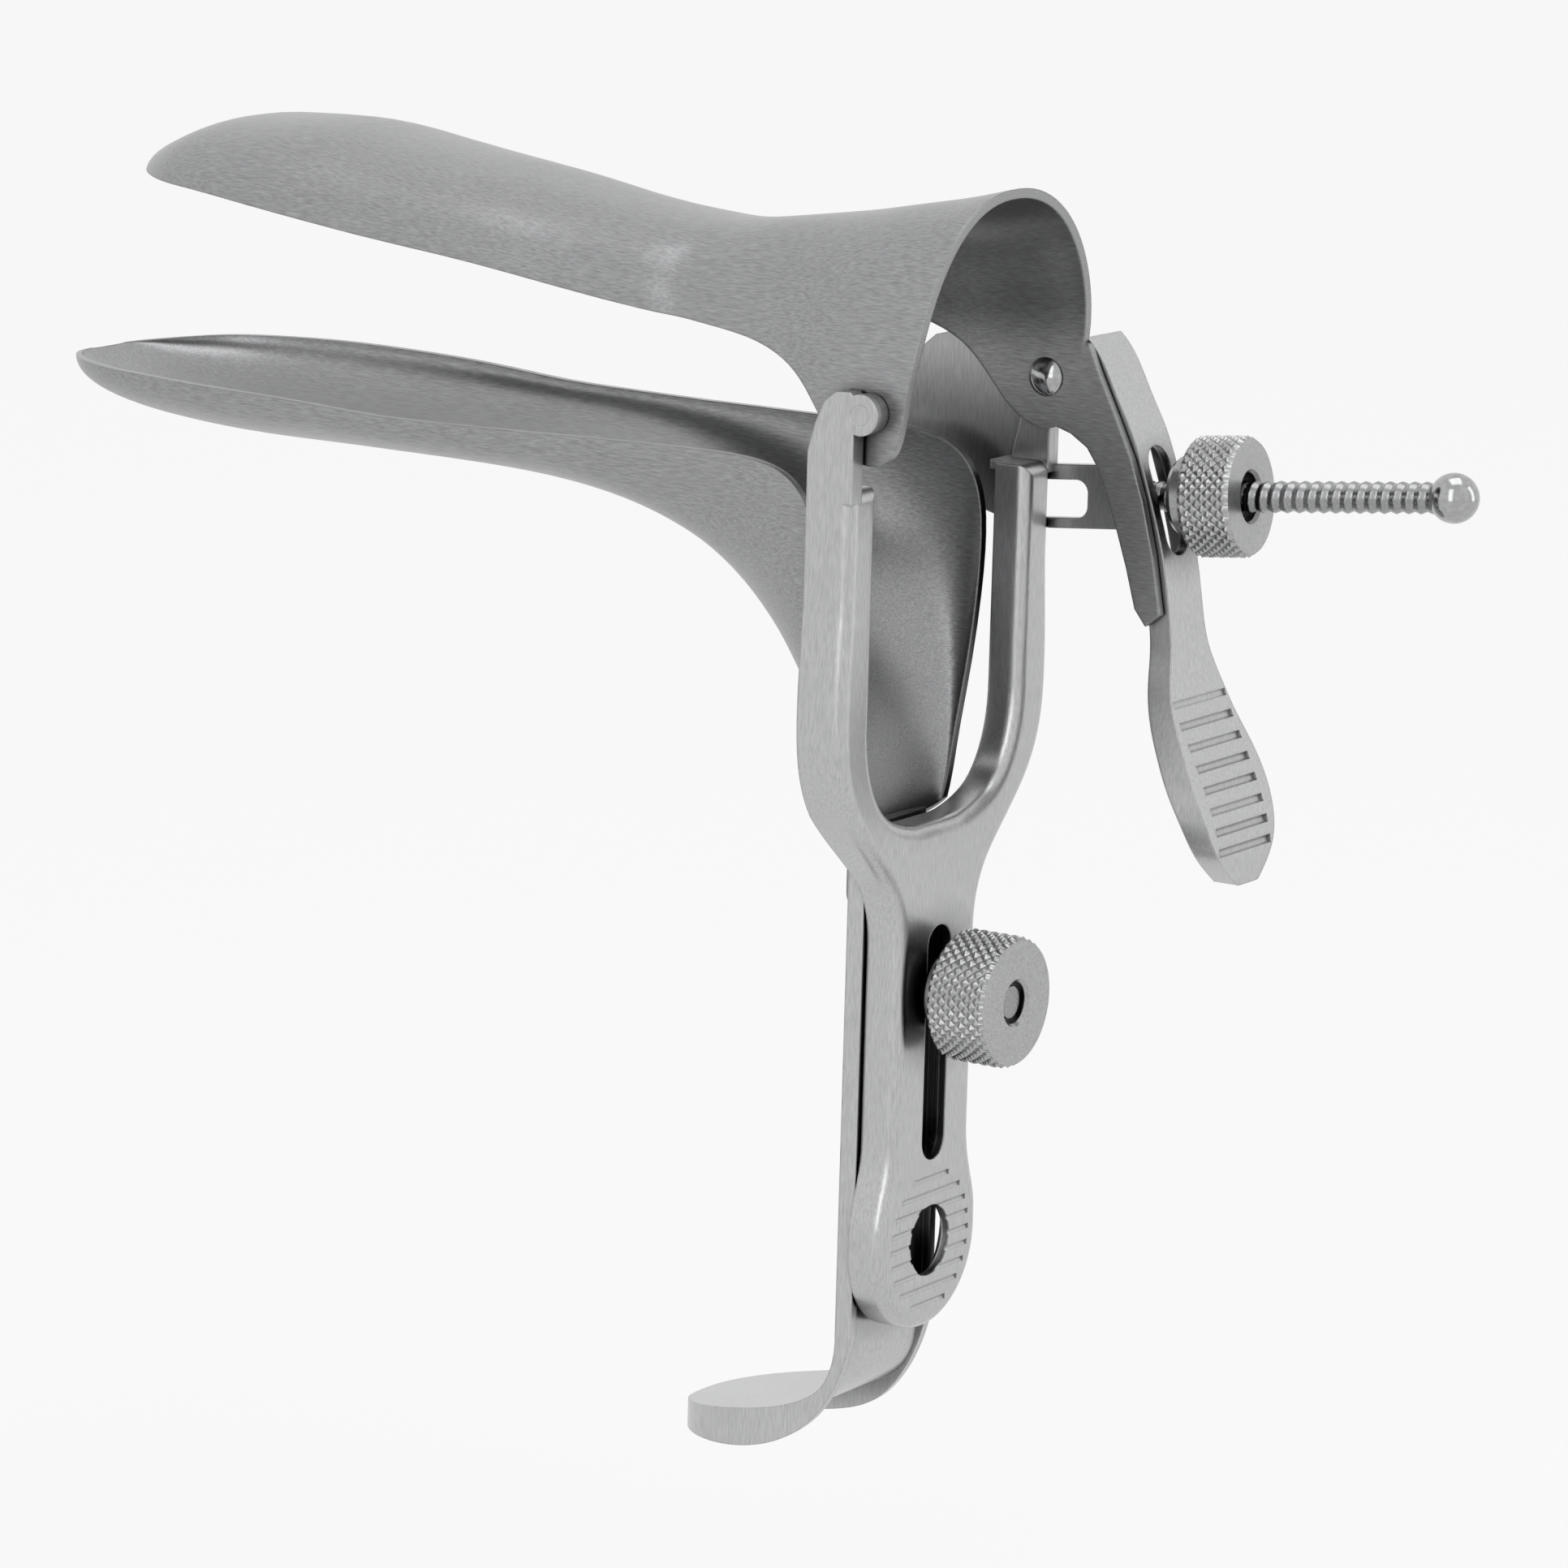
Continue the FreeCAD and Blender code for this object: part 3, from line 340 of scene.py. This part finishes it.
def backdrop_rays(tree):
    """1 for camera, glossy and transmission rays, which see the white background."""
    rays = tree.nodes.new("ShaderNodeLightPath")
    seen = rays.outputs["Is Camera Ray"]
    for kind in ("Is Glossy Ray", "Is Transmission Ray"):
        either = tree.nodes.new("ShaderNodeMath")
        either.operation = "MAXIMUM"
        tree.links.new(seen, either.inputs[0])
        tree.links.new(rays.outputs[kind], either.inputs[1])
        seen = either.outputs["Value"]
    return seen


# Floor in metres, well below the toe at its lowest. Part of it stays lit, for the shadow.
FLOOR_Z = -0.052
FLOOR_SIZE = 8.0
FLOOR_GLOW_SHARE = 0.86


def pale_floor():
    bpy.ops.mesh.primitive_plane_add(size=FLOOR_SIZE, location=(0.0, 0.0, FLOOR_Z))
    floor = bpy.context.active_object
    floor.name = "floor"
    ground, tree, shader = node_tree("floor")
    new = tree.nodes.new
    link = tree.links.new
    shader.inputs["Roughness"].default_value = 0.9
    shader.inputs["Specular IOR Level"].default_value = 0.1
    speckle = new("ShaderNodeTexNoise")
    speckle.inputs["Scale"].default_value = 3.0
    wash = new("ShaderNodeValToRGB")
    wash.color_ramp.elements[0].color = (0.86, 0.86, 0.86, 1.0)
    wash.color_ramp.elements[1].color = (0.9, 0.9, 0.9, 1.0)
    link(speckle.outputs["Fac"], wash.inputs["Fac"])
    link(wash.outputs["Color"], shader.inputs["Base Color"])
    glow = new("ShaderNodeEmission")
    glow.inputs["Color"].default_value = (1.0, 1.0, 1.0, 1.0)
    share = new("ShaderNodeMath")
    share.operation = "MULTIPLY"
    share.inputs[1].default_value = FLOOR_GLOW_SHARE
    link(backdrop_rays(tree), share.inputs[0])
    blend = new("ShaderNodeMixShader")
    link(share.outputs["Value"], blend.inputs["Fac"])
    link(shader.outputs["BSDF"], blend.inputs[1])
    link(glow.outputs["Emission"], blend.inputs[2])
    link(blend.outputs["Shader"], tree.nodes["Material Output"].inputs["Surface"])
    floor.data.materials.append(ground)


pale_floor()

# Soft grey that only lights the floor, from straight down (0) to straight up (1)
SKY = ((0.46, 0.32), (0.52, 0.24), (0.58, 0.76), (0.68, 0.72), (0.8, 0.24))
SKY_BELOW = 0.4
SKY_ABOVE = 0.76


def studio_world():
    """White to the camera and to the metal, soft grey to the rest."""
    world = bpy.data.worlds.new("studio")
    bpy.context.scene.world = world
    world.use_nodes = True
    tree = world.node_tree
    new = tree.nodes.new
    link = tree.links.new
    background = tree.nodes["Background"]
    background.inputs["Strength"].default_value = 1.0
    coords = new("ShaderNodeTexCoord")
    split = new("ShaderNodeSeparateXYZ")
    link(coords.outputs["Generated"], split.inputs["Vector"])
    height = new("ShaderNodeMapRange")
    height.inputs["From Min"].default_value = -1.0
    link(split.outputs["Z"], height.inputs["Value"])
    sky = new("ShaderNodeValToRGB")
    link(height.outputs["Result"], sky.inputs["Fac"])
    sky.color_ramp.elements[0].color = (SKY_BELOW, SKY_BELOW, SKY_BELOW, 1.0)
    sky.color_ramp.elements[1].color = (SKY_ABOVE, SKY_ABOVE, SKY_ABOVE, 1.0)
    for place, value in SKY:
        stop = sky.color_ramp.elements.new(place)
        stop.color = (value, value, value, 1.0)
    pick = new("ShaderNodeMix")
    pick.data_type = "RGBA"
    link(backdrop_rays(tree), pick.inputs[0])
    link(sky.outputs["Color"], pick.inputs[6])
    pick.inputs[7].default_value = (1.0, 1.0, 1.0, 1.0)
    link(pick.outputs[2], background.inputs["Color"])


studio_world()

# what the lamps aim at, in metres
LAMP_AIM = Vector((0.0, 0.04, 0.07))


def lamp(name, direction, distance, size, power):
    data = bpy.data.lights.new(name, "AREA")
    data.shape = "RECTANGLE"
    data.size = size[0]
    data.size_y = size[1]
    data.energy = power
    obj = bpy.data.objects.new(name, data)
    bpy.context.scene.collection.objects.link(obj)
    way = Vector(direction).normalized()
    obj.location = LAMP_AIM + way * distance
    obj.rotation_euler = way.to_track_quat("Z", "Y").to_euler()


lamp("top", direction=(0.1, -0.1, 1.0), distance=0.9, size=(0.6, 0.6), power=1.5)
lamp("left", direction=(-1.0, -0.3, 0.45), distance=0.9, size=(0.3, 0.9), power=1.2)
lamp("right", direction=(0.6, -1.0, 0.35), distance=1.0, size=(0.25, 0.8), power=0.9)

# camera at the photograph's angle, with the hinge at its place in the photograph
FOCAL_PX = 9000.53
FRAME_PX = 1932.0
HINGE_PX = (1186.68, 485.28)
CAMERA_AZIMUTH = math.radians(-56.95)
CAMERA_ELEVATION = math.radians(11.73)
CAMERA_ROLL = math.radians(-1.61)
CAMERA_DISTANCE = 882.86
SENSOR_MM = 36.0


def photo_camera():
    back = Vector((math.sin(CAMERA_AZIMUTH) * math.cos(CAMERA_ELEVATION),
                   -math.cos(CAMERA_AZIMUTH) * math.cos(CAMERA_ELEVATION),
                   math.sin(CAMERA_ELEVATION)))
    level = Vector((math.cos(CAMERA_AZIMUTH), math.sin(CAMERA_AZIMUTH), 0.0))
    upright = back.cross(level)
    right = level * math.cos(CAMERA_ROLL) - upright * math.sin(CAMERA_ROLL)
    above = level * math.sin(CAMERA_ROLL) + upright * math.cos(CAMERA_ROLL)
    off_x = (HINGE_PX[0] - FRAME_PX / 2.0) * CAMERA_DISTANCE / FOCAL_PX
    off_y = -(HINGE_PX[1] - FRAME_PX / 2.0) * CAMERA_DISTANCE / FOCAL_PX
    place = HINGE - right * off_x - above * off_y + back * CAMERA_DISTANCE
    data = bpy.data.cameras.new("camera")
    data.sensor_width = SENSOR_MM
    data.lens = SENSOR_MM * FOCAL_PX / FRAME_PX
    data.clip_start = 0.01
    data.clip_end = 20.0
    camera = bpy.data.objects.new("camera", data)
    bpy.context.scene.collection.objects.link(camera)
    pose = Matrix((right, above, back)).transposed().to_4x4()
    pose.translation = place * MM
    camera.matrix_world = pose
    bpy.context.scene.camera = camera


photo_camera()
bpy.context.scene.view_settings.view_transform = "Standard"
